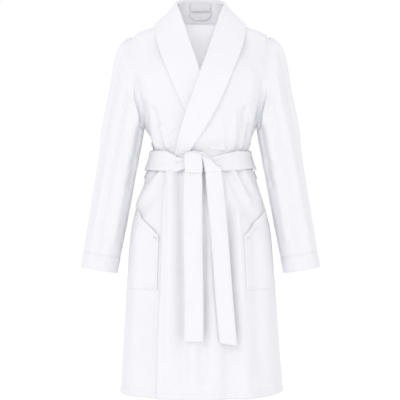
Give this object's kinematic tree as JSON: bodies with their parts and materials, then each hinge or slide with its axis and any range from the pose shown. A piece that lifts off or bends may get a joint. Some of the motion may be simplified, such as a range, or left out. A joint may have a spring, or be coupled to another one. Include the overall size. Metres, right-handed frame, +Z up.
{
  "type": "bathrobe",
  "caption": "White terry wrap bathrobe, knee length, with shawl collar, long sleeves, slanted pockets and a tied self belt.",
  "frame": {"origin": "middle of the seam line inside the back neck that the hanging loop turns on", "axes": "+Z up; the front of the robe faces -Y; +X is the wearer's left, which is on the right when the robe is seen from the front"},
  "size_m": [0.641, 0.2874, 1.066],
  "materials": {
    "terry": "soft velour terry, short pile, very pale cool white",
    "belt_terry": "doubled velour terry, topstitched",
    "thread": "white polyester thread, close bar stitches",
    "tape": "narrow twill tape",
    "label_satin": "blank woven satin label"
  },
  "bodies": {
    "root": {"back_panel": "terry", "front_panel_left": "terry", "front_panel_right": "terry", "under_collar_left": "terry", "under_collar_right": "terry", "upper_collar_left": "terry", "upper_collar_right": "terry", "back_neck_facing": "terry", "belt_waistband": "belt_terry", "belt_knot": "belt_terry", "belt_loop_left": "belt_terry", "belt_loop_right": "belt_terry", "belt_loop_bartacks": "thread", "pocket_left": "terry", "pocket_right": "terry", "pocket_bartacks": "thread", "hang_loop_bartacks": "thread", "neck_label": "label_satin", "care_label": "label_satin"},
    "sleeve_left": {"sleeve_left": "terry", "cuff_facing_left": "terry"},
    "sleeve_right": {"sleeve_right": "terry", "cuff_facing_right": "terry"},
    "over_tail": {"belt_tail_over": "belt_terry"},
    "under_tail": {"belt_tail_under": "belt_terry"},
    "hanging_loop": {"hang_loop": "tape"}
  },
  "joints": [
    {"name": "sleeve_left_raise", "type": "hinge", "parent": "root", "child": "sleeve_left", "pos_m": [0.1885, -0.0354, -0.08108], "axis": [0, -1, 0], "range_deg": [0, 70]},
    {"name": "sleeve_right_raise", "type": "hinge", "parent": "root", "child": "sleeve_right", "pos_m": [-0.1885, -0.0354, -0.08108], "axis": [0, 1, 0], "range_deg": [0, 70]},
    {"name": "over_tail_lift", "type": "hinge", "parent": "root", "child": "over_tail", "pos_m": [-0.019, -0.1553, -0.43258], "axis": [-1, 0, 0], "range_deg": [0, 80]},
    {"name": "under_tail_lift", "type": "hinge", "parent": "root", "child": "under_tail", "pos_m": [0.035, -0.1553, -0.43258], "axis": [-1, 0, 0], "range_deg": [0, 80]},
    {"name": "hang_loop_turn", "type": "hinge", "parent": "root", "child": "hanging_loop", "pos_m": [0, 0, 0], "axis": [-1, 0, 0], "range_deg": [0, 150]}
  ]
}
